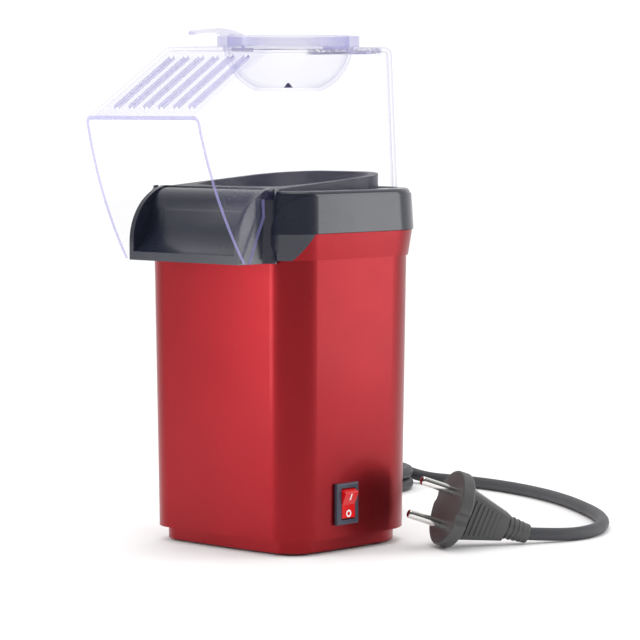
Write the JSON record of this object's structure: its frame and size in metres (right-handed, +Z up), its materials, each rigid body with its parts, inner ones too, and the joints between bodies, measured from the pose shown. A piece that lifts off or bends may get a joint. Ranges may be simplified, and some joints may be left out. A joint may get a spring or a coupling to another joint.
{
  "type": "popcorn maker",
  "caption": "Hot-air popcorn maker: tapered red housing, dark collar with a chute, clear lift-off hood with steam slots, lift-out measuring cup and side rocker switch",
  "frame": {"origin": "centre of the base on the surface that the feet stand on, under the axis of the popping chamber, fan and motor", "axes": "+Z up, -Y towards the chute, +X towards the side with the rocker switch"},
  "size_m": [0.2832, 0.339, 0.273],
  "materials": {
    "red_shell": "satin metallic red",
    "collar_plastic": "dark slate satin moulding",
    "clear_plastic": "clear polycarbonate",
    "rubber": "black rubber",
    "black_plastic": "black nylon",
    "rocker_red": "translucent red",
    "aluminium": "spun aluminium",
    "steel": "zinc-plated steel",
    "mica": "mica sheet",
    "coil_wire": "oxidised resistance wire",
    "brass": "brass contact",
    "nickel": "nickel-plated pins",
    "cord_black": "black cord sheath",
    "silicone": "silicone rubber",
    "board": "circuit board",
    "wire_brown": "insulated wire",
    "wire_blue": "insulated wire",
    "fan_plastic": "glass-filled nylon"
  },
  "bodies": {
    "base": {"housing": "red_shell", "trim_band": "red_shell", "base_cover": "red_shell", "top_collar": "collar_plastic", "funnel_ring": "collar_plastic", "feet": "rubber", "base_screws": "steel", "fan_housing": "fan_plastic", "motor_bracket": "steel", "bracket_screws": "steel", "motor_screws": "steel", "motor_can": "steel", "motor_end_cap": "black_plastic", "motor_magnets": "coil_wire", "rectifier_board": "board", "diodes": "black_plastic", "heat_shield": "steel", "mica_sleeve": "mica", "heater_frame": "mica", "heater_coil": "coil_wire", "popping_chamber": "aluminium", "chamber_seal": "silicone", "flange_screws": "steel", "thermostat": "aluminium", "thermal_fuse": "steel", "switch_body": "black_plastic", "switch_terminals": "brass", "strain_relief": "rubber", "inner_cord": "cord_black", "cord_clamp": "black_plastic", "clamp_screws": "steel", "wire_live": "wire_brown", "wire_neutral": "wire_blue", "mains_cord": "cord_black", "cord_coil": "cord_black", "cord_tie": "black_plastic", "plug_body": "cord_black", "plug_pins": "nickel"},
    "hood": {"hood": "clear_plastic"},
    "measuring_cup": {"measuring_cup": "clear_plastic"},
    "rocker": {"rocker": "rocker_red", "rocker_plunger": "brass"},
    "contact_blade": {"contact_blade": "brass"},
    "fan_rotor": {"fan": "fan_plastic", "motor_shaft": "steel", "motor_rotor": "coil_wire"}
  },
  "joints": [
    {"name": "hood_lift", "type": "slide", "parent": "base", "child": "hood", "axis": [0, 0, 1], "range_m": [0, 0.06]},
    {"name": "cup_lift", "type": "slide", "parent": "hood", "child": "measuring_cup", "axis": [0, 0, 1], "range_m": [0, 0.035]},
    {"name": "rocker_tilt", "type": "hinge", "parent": "base", "child": "rocker", "pos_m": [0.05543, -0.013, 0.0258], "axis": [0, -1, 0], "range_deg": [0, 22]},
    {"name": "blade_tip", "type": "hinge", "parent": "base", "child": "contact_blade", "pos_m": [0.04793, -0.013, 0.0258], "axis": [0, -1, 0], "range_deg": [-12, 0]},
    {"name": "fan_spin", "type": "hinge", "parent": "base", "child": "fan_rotor", "pos_m": [0, 0, 0.07], "axis": [0, 0, 1], "continuous": true}
  ],
  "couplings": [
    {"joint": "blade_tip", "follows": "rocker_tilt", "ratio": -0.54545}
  ]
}
